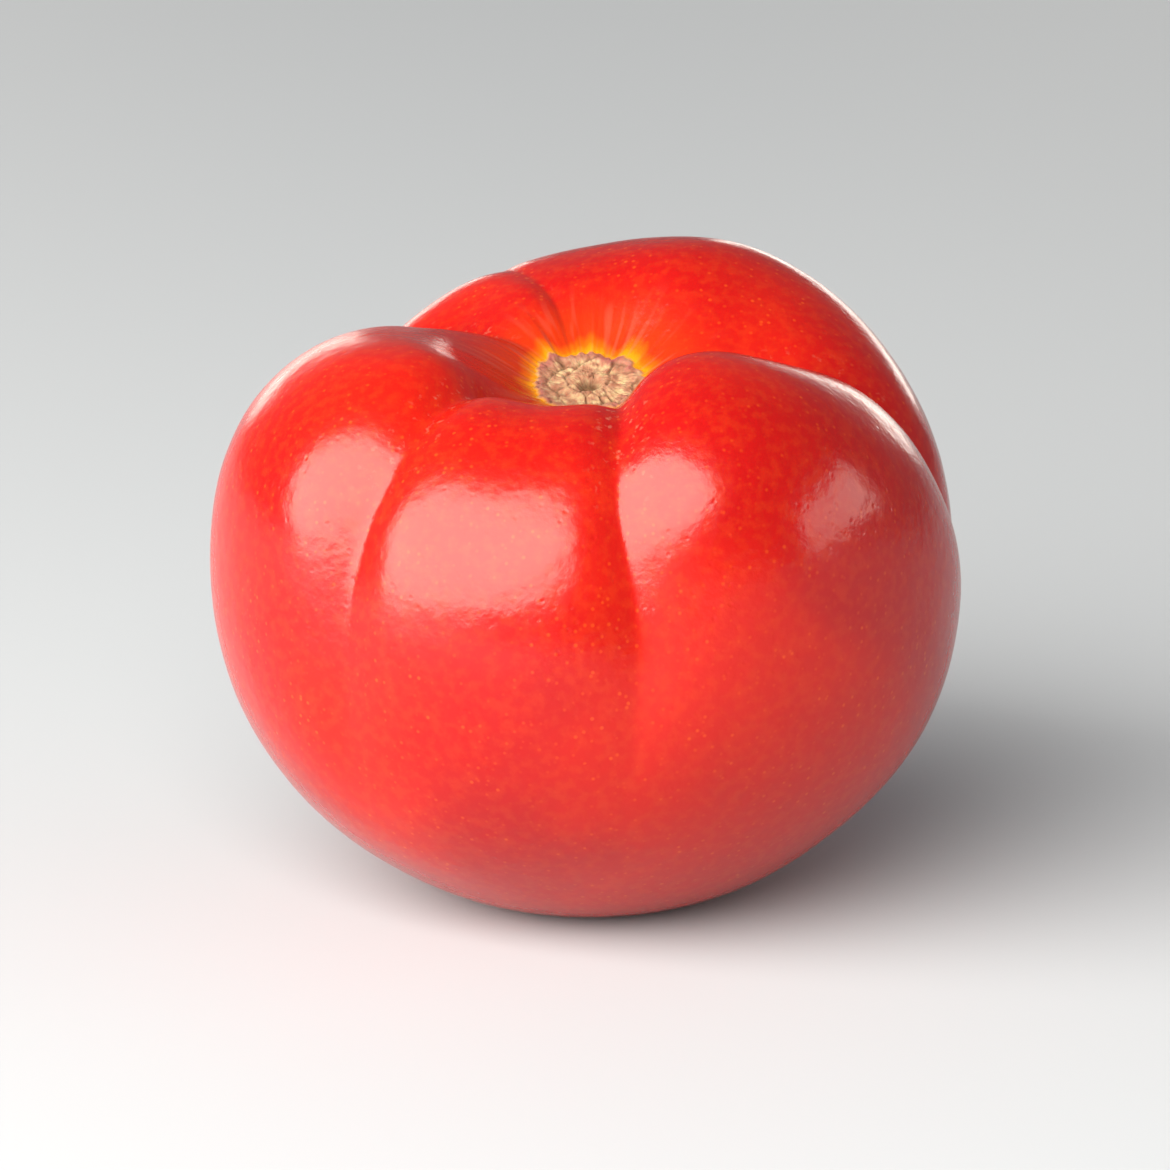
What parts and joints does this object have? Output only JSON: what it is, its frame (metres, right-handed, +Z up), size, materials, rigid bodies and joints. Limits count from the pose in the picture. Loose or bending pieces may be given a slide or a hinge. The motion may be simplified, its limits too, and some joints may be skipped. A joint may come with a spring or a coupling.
{
  "type": "tomato",
  "caption": "Whole ripe red tomato, softly ribbed, with a corky stalk scar in a shallow hollow on top; it rests on its blossom end.",
  "frame": {"origin": "on the surface that the fruit stands on, under the middle of its box", "axes": "+Z up from the blossom end to the stalk scar, -Y towards the side with the low front lobe, +X to the right seen from that side"},
  "size_m": [0.0756, 0.0728, 0.0629],
  "materials": {
    "tomato_skin": "gloss"
  },
  "bodies": {
    "root": {"tomato": "tomato_skin"}
  },
  "joints": []
}
